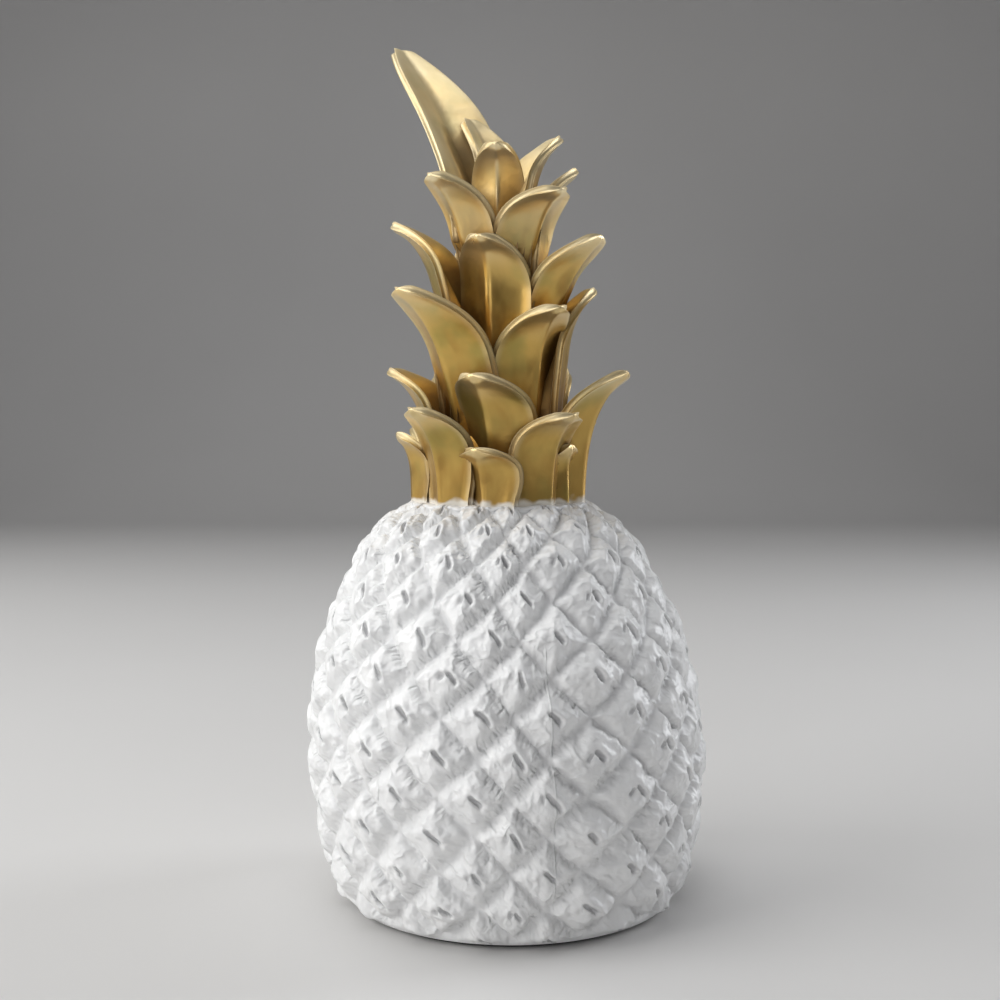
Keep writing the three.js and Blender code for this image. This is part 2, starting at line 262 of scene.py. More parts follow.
class Graph:
    """Adds nodes to one node tree."""

    def __init__(self, tree):
        self.tree = tree

    def add(self, kind, settings=None, sockets=None, output=0):
        node = self.tree.nodes.new(kind)
        for name, value in (settings or {}).items():
            setattr(node, name, value)
        for key, value in (sockets or {}).items():
            if isinstance(value, Wire):
                self.tree.links.new(value.socket, node.inputs[key])
            else:
                node.inputs[key].default_value = value
        return Wire(self, node.outputs[output])

    def also(self, wire, output):
        """Another output of the node that a wire comes from."""
        return Wire(self, wire.socket.node.outputs[output])

    def vector(self, x, y, z):
        return self.add("ShaderNodeCombineXYZ", {}, {0: x, 1: y, 2: z})

    def noise(self, vector, scale, detail=2.0, roughness=0.5):
        sockets = {"Vector": vector, "Scale": scale, "Detail": detail, "Roughness": roughness}
        return self.add("ShaderNodeTexNoise", {}, sockets)

    def blend(self, share, low, high):
        """Mixes two colours."""
        sockets = {0: share}
        for key, value in zip(MIX_COLOR_SOCKETS, (low, high)):
            sockets[key] = value if isinstance(value, Wire) else (*value, 1)
        return self.add("ShaderNodeMix", {"data_type": "RGBA"}, sockets, MIX_COLOR_RESULT)


# One fruitlet, in shares of its cell and in metres over the surface
CELL_WIDTH = BODY_RADIUS * COLUMN_ANGLE
CELL_RISE = 12.2 * MM
HALF = 0.5
PEAK_SHARE = 0.06
PEAK_SPREAD_SHARE = 0.12
RIDGE_SOFT_SHARE = 0.1

# Flat sides fall to a steep uneven wall along the grooves
WALL_SHARE = 0.42
WALL_SPREAD_SHARE = 0.25
SIDE_WALL_SHARES = (0.78, 0.96)
END_WALL_SHARES = (0.58, 0.95)
WALL_STRAY_SHARE = 0.4
GROOVE_STRAY_SIZE = 8.0 * MM
GROOVE_STRAY_SHARE = 0.13

# The plain body that the skin's noises lie on narrows above this row
NARROW_ROW = 4
NARROW_SHARE = 0.52
NARROW_POWER = 2.3

# Steady chance numbers of each fruitlet, the first as in the part's source
CHANCE_COLUMN_TURNS = 12.99
CHANCE_ROW_TURNS = 78.23
CHANCE_SPREAD = 437.58
CHANCE_TURNS = (0.0, 1.7, 3.1, 4.9)

# The bract's two legs meet at its hood: where they start and end, right of the middle and up
APEX = (-0.4 * MM, 1.7 * MM)
HOOD_SIZE = 2.6 * MM
HOOD_HEIGHT = 0.5 * MM
APEX_STRAY = 1.3 * MM
RIGHT_LEG_TURN = math.radians(-54)
LEFT_LEG_TURN = math.radians(-115)
LEG_TURN_SPREAD = math.radians(22)
LEG_LENGTH_SPREAD_SHARE = 0.5
RIGHT_LEG_LENGTH = 6.4 * MM
LEFT_LEG_LENGTH = 3.6 * MM
LEG_START = 0.9 * MM
LEG_WALL = 0.5 * MM
SLIT_FLAT = 0.7 * MM
SLIT_REACH = 2.3 * MM
SLIT_DEPTH = 1.5 * MM
LEFT_SLIT_SHARE = 0.35
LIP_PLACE = 2.7 * MM
LIP_SIZE = 1.0 * MM
LIP_HEIGHT = 0.8 * MM
LIP_END_SHARES = (0.8, 1.2)
LEFT_LIP_SHARE = 0.35
HOOK_SIZE = 1.1 * MM
HOOK_HEIGHT = 0.5 * MM
CHIN_RIGHT = 0.8 * MM
CHIN_DROP = 5.8 * MM
CHIN_SIZE = 2.6 * MM
CHIN_HEIGHT = 0.5 * MM

# Carved strokes toward the edges, and the uneven skin
STROKE_TURNS = 8.5
STROKE_DRIFT = 3.0
STROKE_DEPTH = 1.6 * MM
STROKE_PLACE_SHARES = (0.24, 0.44)
STROKE_LEAN_SHARES = (0.0, 0.3)
LEFT_STROKE_SHARE = 0.5
PATCH_SIZE = 16 * MM
PATCH_SHARES = (0.38, 0.56)
CRUMPLE_SIZE = 5.0 * MM
CRUMPLE_DEPTH = 1.0 * MM
PUCKER_SIZE = 3.2 * MM
PUCKER_DEPTH = 0.6 * MM
CREASE_SIZE = 9.0 * MM
CREASE_SHARPNESS = 9.0
CREASE_HEIGHT = 0.3 * MM
MOULD_LINE_ANGLE = math.radians(12.2)
MOULD_LINE_DRIFT = math.radians(-0.3)
MOULD_LINE_WIDTH = math.radians(0.26)
MOULD_LINE_HEIGHT = 0.22 * MM
MOULD_LINE_ROWS = (-0.2, 0.3, 6.2, 7.2)


def chance_number(column_number, row_number, turn):
    wave = column_number * CHANCE_COLUMN_TURNS + row_number * CHANCE_ROW_TURNS + turn
    return (wave.math("SINE") * CHANCE_SPREAD).math("FRACT") - HALF


def pyramid(across, along, wall_share, stray):
    """A fruitlet's flat-sided body: one at its peak and zero at its edges."""
    right = (across - PEAK_SHARE) / (HALF - PEAK_SHARE)
    left = (PEAK_SHARE - across) / (HALF + PEAK_SHARE)
    low = (along + PEAK_SHARE) / (HALF + PEAK_SHARE)
    high = (-PEAK_SHARE - along) / (HALF - PEAK_SHARE)
    sides = right.at_least(left)
    ends = low.at_least(high)
    edge = sides.math("SMOOTH_MAX", ends, RIDGE_SOFT_SHARE).at_most(1).at_least(0)
    side_wall = 1 - (sides + stray).fade(*SIDE_WALL_SHARES)
    wall = side_wall * (1 - (ends + stray).fade(*END_WALL_SHARES))
    return 1 - edge + (wall - (1 - edge)) * wall_share


def leg_marks(right, up, turn, length, side):
    """Depth of the slit and height of the lip along one leg, both on the given side of it."""
    cosine = turn.math("COSINE")
    sine = turn.math("SINE")
    down = right * cosine + up * sine
    out = (up * cosine - right * sine) * side
    wall = out.fade(-LEG_WALL / 2, LEG_WALL / 2)
    start = down.fade(-LEG_START, LEG_START)
    pit = wall * (1 - out.fade(SLIT_FLAT, SLIT_REACH))
    slit = pit * start * (1 - down.fade(length * HALF, length))
    lip_end = down.fade(*[length * share for share in LIP_END_SHARES])
    lip = (out - LIP_PLACE).bell(LIP_SIZE) * start * (1 - lip_end)
    hook = (down - length).bell(HOOK_SIZE) * (out - HOOK_SIZE).bell(HOOK_SIZE)
    return slit, lip, hook


def surface_place(graph, column, row):
    """A place on a plain turned body, the same for the geometry and for the paint."""
    angle = (column - row * ROW_SKEW_SHARE) * COLUMN_ANGLE
    high = (row - NARROW_ROW).at_least(0) / (TOP_ROW - NARROW_ROW)
    radius = BODY_RADIUS * (1 - NARROW_SHARE * high ** NARROW_POWER)
    return graph.vector(angle.math("SINE") * radius, angle.math("COSINE") * radius, row * CELL_RISE)


def cut_lines(graph, over, along, seed):
    """Fine uneven lines that run one way across a fruitlet's cell."""
    stretched = graph.vector(over * STROKE_TURNS, along * STROKE_DRIFT, seed)
    return graph.noise(stretched, 1.0, 1.0) - HALF


def carved_strokes(graph, place, across, along, seed):
    """Strokes that run down a fruitlet's flanks to its edges, in patches over the body."""
    low_strokes = cut_lines(graph, across, along, seed)
    high_strokes = cut_lines(graph, along, across, seed + HALF)
    on_sides = abs(across).fade(*STROKE_PLACE_SHARES) - abs(along).fade(*STROKE_PLACE_SHARES)
    side_lean = LEFT_STROKE_SHARE + across.fade(*STROKE_LEAN_SHARES)
    end_lean = LEFT_STROKE_SHARE + along.fade(*STROKE_LEAN_SHARES)
    sides = side_lean * high_strokes * on_sides.at_least(0)
    ends = end_lean * low_strokes * (-on_sides).at_least(0)
    return (sides + ends) * graph.noise(place, 1 / PATCH_SIZE, 1.0).fade(*PATCH_SHARES)


def fruitlet(graph, column, row, turned):
    """Body share, broad and fine heights and slit of the fruitlet at a lattice place."""
    place = surface_place(graph, column, row)
    stray_noise = graph.noise(place, 1 / GROOVE_STRAY_SIZE, 2.0)
    stray = graph.add("ShaderNodeSeparateXYZ", {}, {0: graph.also(stray_noise, 1)})
    column = column + (stray - HALF) * GROOVE_STRAY_SHARE
    row = row + (graph.also(stray, 1) - HALF) * GROOVE_STRAY_SHARE
    column_number = round(column)
    slanted_number = round(column - row)
    row_number = column_number - slanted_number
    across = column - column_number
    along = column - row - slanted_number
    wrapped = column_number.math("FLOORED_MODULO", FRUITLETS_ROUND)
    first, second, third, fourth = [
        chance_number(wrapped, row_number, turn) for turn in CHANCE_TURNS
    ]
    rise = across - along
    right = (across - ROW_SKEW_SHARE * rise) * CELL_WIDTH - (APEX[0] + APEX_STRAY * second)
    up = rise * CELL_RISE - (APEX[1] + APEX_STRAY * third)
    right_slit, right_lip, hook = leg_marks(
        right, up, RIGHT_LEG_TURN + LEG_TURN_SPREAD * fourth,
        RIGHT_LEG_LENGTH * (1 + LEG_LENGTH_SPREAD_SHARE * third), 1,
    )
    left_slit, left_lip, _ = leg_marks(
        right, up, LEFT_LEG_TURN + LEG_TURN_SPREAD * first, LEFT_LEG_LENGTH, -1,
    )
    slit = right_slit.at_least(left_slit * LEFT_SLIT_SHARE * (1 + second + second))
    lip = right_lip * (1 + first) + left_lip * LEFT_LIP_SHARE
    chin = (right - CHIN_RIGHT).bell(CHIN_SIZE) * (up + CHIN_DROP).bell(CHIN_SIZE)
    crumple = graph.noise(place, 1 / CRUMPLE_SIZE, 1.0) - HALF
    strokes = carved_strokes(graph, place, across, along, second * FRUITLETS_ROUND + row_number)
    pucker = abs(graph.noise(place, 1 / PUCKER_SIZE, 1.0) - HALF)
    crease = (abs(graph.noise(place, 1 / CREASE_SIZE, 2.0) - HALF) * CREASE_SHARPNESS).bell(HALF)
    wall_stray = (strokes + strokes - crumple) * WALL_STRAY_SHARE
    body = pyramid(across, along, WALL_SHARE + WALL_SPREAD_SHARE * second, wall_stray)
    body = body * (1 + PEAK_SPREAD_SHARE * first)
    line_angle = MOULD_LINE_ANGLE + (row - TWIST_MIDDLE_ROW) * MOULD_LINE_DRIFT
    mould_line = (turned - line_angle).bell(MOULD_LINE_WIDTH)
    low, low_end, high, high_end = MOULD_LINE_ROWS
    mould_line = mould_line * row.fade(low, low_end) * (1 - row.fade(high, high_end))
    broad = (
        lip * LIP_HEIGHT
        + hook * HOOK_HEIGHT
        + right.bell(HOOD_SIZE) * up.bell(HOOD_SIZE) * HOOD_HEIGHT
        + chin * CHIN_HEIGHT * (1 + third)
        + crumple * CRUMPLE_DEPTH
        - slit * SLIT_DEPTH * (1 + fourth * HALF)
    )
    fine = strokes * STROKE_DEPTH + mould_line * MOULD_LINE_HEIGHT - pucker * PUCKER_DEPTH
    fine = fine + crease * CREASE_HEIGHT
    return body, broad, fine, slit


def finish_mesh(name, vertices, faces, attributes=()):
    """A smooth mesh object at the origin with point attributes, given as name and values."""
    mesh = bpy.data.meshes.new(name)
    mesh.from_pydata(vertices, [], faces)
    for attribute_name, values in attributes:
        kind = "FLOAT" if isinstance(values[0], (int, float)) else "FLOAT_VECTOR"
        attribute = mesh.attributes.new(attribute_name, kind, "POINT")
        if kind == "FLOAT":
            attribute.data.foreach_set("value", values)
        else:
            attribute.data.foreach_set("vector", [part for value in values for part in value])
    mesh.shade_smooth()
    piece = bpy.data.objects.new(name, mesh)
    bpy.context.scene.collection.objects.link(piece)
    return piece


def catmull(before, start, end, after, share):
    low = (end - before) * HALF
    high = (after - start) * HALF
    cubic = (2 * start - 2 * end + low + high) * share ** 3
    square = (-3 * start + 3 * end - 2 * low - high) * share ** 2
    return cubic + square + low * share + start


def profile_curve():
    """The body's side line as evenly spaced radius and height pairs, with the way it runs."""
    points = [
        (BODY_RADIUS * radius, RIM_LIFT + (BODY_HEIGHT - RIM_LIFT) * height)
        for height, radius in zip(PROFILE_HEIGHT_SHARES, PROFILE_RADIUS_SHARES)
    ]
    last = len(points) - 1
    line = []
    for index in range(PROFILE_DIVISIONS + 1):
        spot = last * index / PROFILE_DIVISIONS
        knot = min(int(spot), last - 1)
        four = [points[min(max(knot + step, 0), last)] for step in (-1, 0, 1, 2)]
        line.append([catmull(*axis, spot - knot) for axis in zip(*four)])
    lengths = [0]
    for one, two in zip(line, line[1:]):
        lengths.append(lengths[-1] + math.dist(one, two))
    return line, lengths


def profile_at(curve, share):
    line, lengths = curve
    target = min(max(share, 0), 1) * lengths[-1]
    low = 0
    high = len(lengths) - 2
    while low < high:
        middle = (low + high + 1) // 2
        if lengths[middle] <= target:
            low = middle
        else:
            high = middle - 1
    step = lengths[low + 1] - lengths[low]
    along = (target - lengths[low]) / step
    one, two = line[low], line[low + 1]
    place = [a + (b - a) * along for a, b in zip(one, two)]
    aim = [(b - a) / step for a, b in zip(one, two)]
    return place, aim


def around(angle, radius, height):
    return (radius * math.sin(angle), -radius * math.cos(angle), height)


# Named inputs of the node tree that raises the fruitlets
RELIEF_SHARE = 1.2
TREE_INPUTS = (
    ("Relief", FRUITLET_RELIEF * RELIEF_SHARE),
    ("Sink", 0.3 * MM),
    ("Broad marks", 1.0),
    ("Fine marks", 0.6),
    ("Rim rows", 0.45),
    ("Seat rows", 0.3),
    ("Rim plain share", 0.55),
    ("Seat plain share", 0.8),
)
SEAT_RELIEF_SHARE = 0.55
SEAT_MARK_SHARE = 0.6

# Radius and raised share of the rings where the skin turns over into the crown's seat
SEAT_RINGS = ((30.9 * MM, 0.8), (30.2 * MM, 0.3))


def column_turn(column, row):
    """Where a lattice place lies round the body, as in the part's source."""
    twist = TWIST_SHARE * (row - TWIST_MIDDLE_ROW) ** 2
    even = FIRST_COLUMN_ANGLE + COLUMN_ANGLE * (column - ROW_SKEW_SHARE * row + twist)
    turns_away = (even - SQUEEZE_AT) / math.pi
    away = math.pi * (turns_away - round(turns_away))
    return even - SQUEEZE_ANGLE * math.exp(-(away / SQUEEZE_SPREAD) ** 2)


def gathered_column(step):
    """Lattice columns gather at the slits and at the grooves between fruitlets."""
    share = step / STEPS_ACROSS
    pulled = share - GATHER_ACROSS_SHARE / (4 * math.pi) * math.sin(4 * math.pi * share)
    return pulled + MARK_COLUMN_SHARE * math.cos(math.pi * share) ** 2


def gathered_row(step):
    """Lattice rows gather at the slits."""
    share = step / STEPS_UP
    return share + MARK_ROW_SHARE - GATHER_UP_SHARE / (2 * math.pi) * math.sin(2 * math.pi * share)


def body_skin():
    """The plain turned skin with its lattice places, which the node tree then raises."""
    curve = profile_curve()
    count = FRUITLETS_ROUND * STEPS_ACROSS
    rows = [BOTTOM_ROW]
    step = math.floor(BOTTOM_ROW * STEPS_UP)
    while gathered_row(step) < TOP_ROW:
        if gathered_row(step) > BOTTOM_ROW:
            rows.append(gathered_row(step))
        step += 1
    rows.append(TOP_ROW)
    columns = [gathered_column(index) for index in range(count + 1)]
    vertices, lattice_column, lattice_row, outward, raised, turned = [], [], [], [], [], []

    def add_point(column, row, angle, radius, height, aim, share):
        x, y, z = around(angle, radius, height)
        vertices.append((x + CROWN_SHIFT * height / BODY_HEIGHT, y, z))
        lattice_column.append(column)
        lattice_row.append(row)
        outward.append(around(angle, aim[1], -aim[0]))
        raised.append(share)
        turned.append(math.atan2(math.sin(angle), math.cos(angle)))

    def add_ring(row, radius, height, aim, share):
        for column in columns[:-1]:
            add_point(column, row, column_turn(column, row), radius, height, aim, share)

    flat = (1.0, 0.0)
    level = (-1.0, 0.0)
    recess_height = FOOT_THICKNESS + SEAM
    socket_floor = BODY_HEIGHT - SOCKET_DEPTH
    add_ring(BOTTOM_ROW, FOOT_RADIUS + SEAM, recess_height, flat, 0.0)
    add_ring(BOTTOM_ROW, FOOT_RADIUS + SEAM, RIM_LIFT, flat, 0.0)
    for row in rows:
        place, aim = profile_at(curve, (row - BOTTOM_ROW) / FRUITLET_ROWS)
        add_ring(row, place[0], place[1], aim, 1.0)
    for radius, share in SEAT_RINGS:
        add_ring(TOP_ROW, radius, BODY_HEIGHT, level, share)
    add_ring(TOP_ROW, SPIGOT_RADIUS + SEAM, BODY_HEIGHT, level, 0.0)
    add_ring(TOP_ROW, SPIGOT_RADIUS + SEAM, socket_floor, level, 0.0)
    ring_count = len(vertices) // count
    for height, centre in ((recess_height, 0.0), (socket_floor, CROWN_SHIFT)):
        add_point(0.0, BOTTOM_ROW, 0.0, 0.0, height, level, 0.0)
        vertices[-1] = (centre, 0.0, height)
    faces = []
    corner_columns = []

    def add_face(*corners):
        """Corners are given as a step round the body and a ring."""
        faces.append([ring * count + step % count for step, ring in corners])
        corner_columns.extend((columns[step], lattice_row[ring * count]) for step, ring in corners)

    for ring in range(1, ring_count):
        for step in range(count):
            add_face((step, ring - 1), (step + 1, ring - 1), (step + 1, ring))
            add_face((step, ring - 1), (step + 1, ring), (step, ring))
    last_ring = (ring_count - 1) * count
    for step in range(count):
        following = (step + 1) % count
        faces.append([ring_count * count, following, step])
        faces.append([ring_count * count + 1, last_ring + step, last_ring + following])
        corner_columns.extend([(0.0, BOTTOM_ROW)] * 6)
    attributes = [
        ("column", lattice_column),
        ("row", lattice_row),
        ("outward", outward),
        ("raised", raised),
        ("turned", turned),
    ]
    piece = finish_mesh("white_body_cast", vertices, faces, attributes)
    lattice = piece.data.attributes.new("lattice", "FLOAT_VECTOR", "CORNER")
    flat_values = [part for column, row in corner_columns for part in (column, row, 0.0)]
    lattice.data.foreach_set("vector", flat_values)
    return piece


def fruitlet_tree(finish):
    """Raises the fruitlets on the turned skin along its outward way."""
    tree = bpy.data.node_groups.new("Raised fruitlets", "GeometryNodeTree")
    new_socket = tree.interface.new_socket
    new_socket(name="Geometry", in_out="INPUT", socket_type="NodeSocketGeometry")
    for name, value in TREE_INPUTS:
        new_socket(name=name, in_out="INPUT", socket_type="NodeSocketFloat").default_value = value
    new_socket(name="Geometry", in_out="OUTPUT", socket_type="NodeSocketGeometry")
    graph = Graph(tree)
    given = graph.add("NodeGroupInput")
    geometry, relief, sink, broad_share, fine_share, rim_rows, seat_rows, rim_plain, seat_plain = [
        graph.also(given, index) for index in range(len(TREE_INPUTS) + 1)
    ]

    def named(name, kind="FLOAT"):
        return graph.add("GeometryNodeInputNamedAttribute", {"data_type": kind}, {"Name": name})

    column = named("column")
    row = named("row")
    raised = named("raised")
    outward = named("outward", "FLOAT_VECTOR")
    body, broad, fine, slit = fruitlet(graph, column, row, named("turned"))
    rim = row.fade(BOTTOM_ROW, rim_rows + BOTTOM_ROW)
    seat = (TOP_ROW - row).fade(0.0, seat_rows)
    shown = rim * (SEAT_RELIEF_SHARE + (1 - SEAT_RELIEF_SHARE) * seat)
    plain = rim_plain + (seat_plain - rim_plain) * row.fade(BOTTOM_ROW, TOP_ROW)
    share = plain + (body - plain) * shown
    marks = (broad * broad_share + fine * fine_share) * rim
    marks = marks * (SEAT_MARK_SHARE + (1 - SEAT_MARK_SHARE) * seat)
    height = relief * (share - 1) + marks - sink
    height = height.math("SMOOTH_MIN", -sink, sink) * raised
    offset = graph.add("ShaderNodeVectorMath", {"operation": "SCALE"}, {0: outward, "Scale": height})
    moved = graph.add("GeometryNodeSetPosition", {}, {"Geometry": geometry, "Offset": offset})
    # The hollow of the grooves and slits, which the white paint darkens as painted shade
    grooved = graph.add(
        "GeometryNodeStoreNamedAttribute",
        {"data_type": "FLOAT", "domain": "POINT"},
        {"Geometry": moved, "Name": "hollow", "Value": ((1 - share).at_least(slit)) * raised},
    )
    real = graph.add("GeometryNodeRealizeInstances", {}, {"Geometry": grooved})
    painted = graph.add("GeometryNodeSetMaterial", {}, {"Geometry": real, "Material": finish})
    leave = tree.nodes.new("NodeGroupOutput")
    tree.links.new(painted.socket, leave.inputs["Geometry"])
    return tree


def grow(piece, tree, inputs):
    """Gives a piece the plain mesh that a node tree makes of it, with these named inputs."""
    modifier = piece.modifiers.new(tree.name, "NODES")
    modifier.node_group = tree
    chosen = dict(inputs)
    for item in tree.interface.items_tree:
        if item.in_out == "INPUT" and item.name in chosen:
            modifier[item.identifier] = chosen[item.name]
    evaluated = piece.evaluated_get(bpy.context.evaluated_depsgraph_get())
    mesh = bpy.data.meshes.new_from_object(evaluated)
    piece.modifiers.remove(modifier)
    piece.data = mesh


def blade_share(share):
    if share < WIDEST_SHARE:
        swell = math.sin(share / WIDEST_SHARE * math.pi / 2)
        return ROOT_WIDTH_SHARE + (1 - ROOT_WIDTH_SHARE) * swell
    to_tip = (share - WIDEST_SHARE) / (1 - WIDEST_SHARE)
    return TIP_WIDTH_SHARE + (1 - TIP_WIDTH_SHARE) * (1 - to_tip ** TAPER_POWER)


def leaf_spine(leaf, share):
    """Where the keel runs at a share of its length, as out and up, and the way it aims."""
    foot = BODY_HEIGHT + SEAM + CROWN_HEIGHT * leaf["foot"]
    tip = BODY_HEIGHT + CROWN_HEIGHT * leaf["tip"]
    rise = tip - foot
    root_lean = math.radians(ROOT_LEAN)
    tip_lean = math.radians(leaf["lean"])
    start = Vector((0, foot))
    end = Vector((CROWN_RADIUS * leaf["reach"], tip))
    low = start + Vector((math.sin(root_lean), math.cos(root_lean))) * LOW_HANDLE_SHARE * rise
    high = end - Vector((math.sin(tip_lean), math.cos(tip_lean))) * HIGH_HANDLE_SHARE * rise
    rest = 1 - share
    place = start * rest ** 3 + low * 3 * rest ** 2 * share + high * 3 * rest * share ** 2
    place = place + end * share ** 3
    aim = (low - start) * rest ** 2 + (high - low) * 2 * rest * share + (end - high) * share ** 2
    return place, aim.normalized()


def leaf_section():
    """Places round a blade's section: across and thickness shares, bulge of the rim, lip."""
    def lip_share(across):
        return max(0.0, (abs(across) - RIM_START_SHARE) / (1 - RIM_START_SHARE))

    def side(points):
        return [math.sin((2 * index / (points - 1) - 1) * math.pi / 2) for index in range(points)]

    rim = [math.pi * (index + 1) / (RIM_POINTS + 1) for index in range(RIM_POINTS)]
    section = [(across, 0.0, 0.0, lip_share(across)) for across in side(OUTER_POINTS)]
    for angle in rim:
        section.append((1.0, HALF - HALF * math.cos(angle), math.sin(angle), 1.0))
    section.extend((-across, 1.0, 0.0, lip_share(across)) for across in side(INNER_POINTS))
    for angle in rim:
        section.append((-1.0, HALF + HALF * math.cos(angle), math.sin(angle), 1.0))
    return section


def smooth_step(start, end, value):
    share = min(max((value - start) / (end - start), 0), 1)
    return share * share * (3 - 2 * share)


def leaf_stations(leaf):
    """Shares along the spine, with rounding ones over the cap, and the cap's share."""
    walk = [leaf_spine(leaf, index / LEAF_STATIONS)[0] for index in range(LEAF_STATIONS + 1)]
    length = sum((two - one).length for one, two in zip(walk, walk[1:]))
    cap = TIP_CAP / length
    stations = [(1 - cap) * index / LEAF_STATIONS for index in range(LEAF_STATIONS)]
    for index in range(TIP_STEPS + 1):
        stations.append(1 - cap + cap * math.sin(math.pi / 2 * index / TIP_STEPS))
    return stations, cap


def tube_faces(count, rings):
    """Four-sided faces between rings of points, and one face over each end."""
    faces = []
    for ring in range(1, rings):
        low = (ring - 1) * count
        high = ring * count
        for step in range(count):
            following = (step + 1) % count
            faces.append((low + step, low + following, high + following, high + step))
    faces.append(tuple(reversed(range(count))))
    faces.append(tuple(range((rings - 1) * count, rings * count)))
    return faces


def leaf_piece(leaf):
    section = leaf_section()
    angle = math.radians(leaf["faces"])
    seat = Vector(around(math.radians(leaf["at"]), CROWN_RADIUS * leaf["seat"], 0))
    seat.x += CROWN_SHIFT
    outward = Vector(around(angle, 1, 0))
    sideways = Vector((-outward.y, outward.x, 0))
    drop = CROWN_HEIGHT * min(leaf["foot"], ROOT_DROP_SHARE) + FOOT_SINK
    dip, dip_shares = DEEP_ROOTS.get(leaf["name"], (ROOT_DIP, ROOT_DIP_SHARES))
    if leaf["foot"] == 0:
        dip = 0
    if leaf["foot"] > ROOT_DROP_SHARE:
        drop += ROOT_LONG
    drop = SHORT_ROOTS.get(leaf["name"], drop)
    flat_start = TALL_FLAT_START_SHARES.get(leaf["name"], TIP_FLAT_START_SHARE)
    stations, cap = leaf_stations(leaf)
    vertices, rim_values, tip_values, inner_values, across_values = [], [], [], [], []
    for share in stations:
        place, aim = leaf_spine(leaf, share)
        place = place - aim * drop * max(0, 1 - share * LEAF_STATIONS / 2)
        half_width = CROWN_RADIUS * leaf["width"] * blade_share(share)
        place.x -= dip * (1 - smooth_step(*dip_shares, share))
        root_share = max(0, 1 - share / ROOT_THIN_SHARE)
        thickness = LEAF_EDGE + (LEAF_ROOT - LEAF_EDGE) * root_share ** ROOT_THIN_POWER
        closing = max(0, (share - (1 - cap)) / cap)
        size = math.sqrt(max(CAP_END_SHARE ** 2, 1 - closing ** 2))
        toward_tip = smooth_step(1 - TIP_KNOB_SHARE - cap, 1 - cap, share)
        knob = TIP_KNOB * toward_tip
        rim = RIM_THICKNESS * (1 - toward_tip) + LEAF_EDGE * toward_tip
        centre = half_width * FOLD_SHARE * TIP_CENTRE_SHARE + rim * HALF
        for across, inset, bulge, lip in section:
            spread = abs(across)
            full = smooth_step(1.0, RIM_START_SHARE, spread)
            local = rim + (thickness - rim) * full
            lateral = half_width * across * (1 - EDGE_TUCK_SHARE * across ** 2)
            lateral += math.copysign(bulge * rim * HALF - rim * HALF * lip ** 2, across)
            fold = FOLD_SHARE * spread ** FOLD_POWER + DISH_SHARE * math.sin(math.pi * spread)
            fold *= 1 - TIP_FLAT_SHARE * smooth_step(flat_start, 1.0, share)
            depth = half_width * fold
            depth += inset * local + knob * (2 * inset - 1)
            depth = centre + (depth - centre) * size
            point = seat + sideways * lateral * size
            point = point + outward * (place.x - aim.y * depth)
            point.z = place.y + aim.x * depth
            vertices.append(point)
            rim_values.append(smooth_step(*RIM_PAINT_SHARES, spread))
            tip_values.append(share)
            inner_values.append(inset)
            across_values.append(across)
    attributes = [
        ("rim", rim_values),
        ("tipward", tip_values),
        ("inner", inner_values),
        ("across", across_values),
    ]
    faces = tube_faces(len(section), len(stations))
    return finish_mesh(f"gold_leaf_{leaf['name']}", vertices, faces, attributes)


# How deep a crown point lies among the leaves, from short sight lines
SIGHT_LENGTH = 14 * MM
SIGHT_LIFT = 0.15 * MM
SIGHT_LEAN = 0.9
SIGHT_TURNS = 8


def mark_crevices(crown_pieces):
    """Stores how much of the sky near each point is shut off by other leaves."""
    vertices, faces = [], []
    for piece in crown_pieces:
        base = len(vertices)
        vertices.extend(vertex.co.copy() for vertex in piece.data.vertices)
        faces.extend([base + index for index in face.vertices] for face in piece.data.polygons)
    tree = BVHTree.FromPolygons(vertices, faces)
    for piece in crown_pieces:
        values = []
        for vertex in piece.data.vertices:
            normal = vertex.normal
            side = normal.orthogonal().normalized()
            other = normal.cross(side)
            start = vertex.co + normal * SIGHT_LIFT
            shut = 0.0
            for turn in range(SIGHT_TURNS):
                angle = 2 * math.pi * turn / SIGHT_TURNS
                lean = side * math.cos(angle) + other * math.sin(angle)
                aim = (normal + lean * SIGHT_LEAN).normalized()
                _, _, _, distance = tree.ray_cast(start, aim, SIGHT_LENGTH)
                if distance is not None:
                    shut += 1 - distance / SIGHT_LENGTH * HALF
            values.append(shut / SIGHT_TURNS)
        attribute = piece.data.attributes.new("crevice", "FLOAT", "POINT")
        attribute.data.foreach_set("value", values)


def new_finish(name):
    material = bpy.data.materials.new(name)
    material.use_nodes = True
    nodes = material.node_tree.nodes
    nodes.clear()
    graph = Graph(material.node_tree)
    output = nodes.new("ShaderNodeOutputMaterial")
    return material, graph, output


def attribute(graph, name, output="Fac"):
    return graph.add("ShaderNodeAttribute", {"attribute_name": name}, {}, output)


def object_place(graph):
    return graph.add("ShaderNodeTexCoord", {}, {}, "Object")


def set_surface(graph, output, sockets):
    shader = graph.add("ShaderNodeBsdfPrincipled", {}, sockets)
    graph.tree.links.new(shader.socket, output.inputs["Surface"])


def bumped(graph, height):
    """Shading normals of a surface with the given height in metres."""
    return graph.add("ShaderNodeBump", {}, {"Strength": 1.0, "Distance": 1.0, "Height": height})
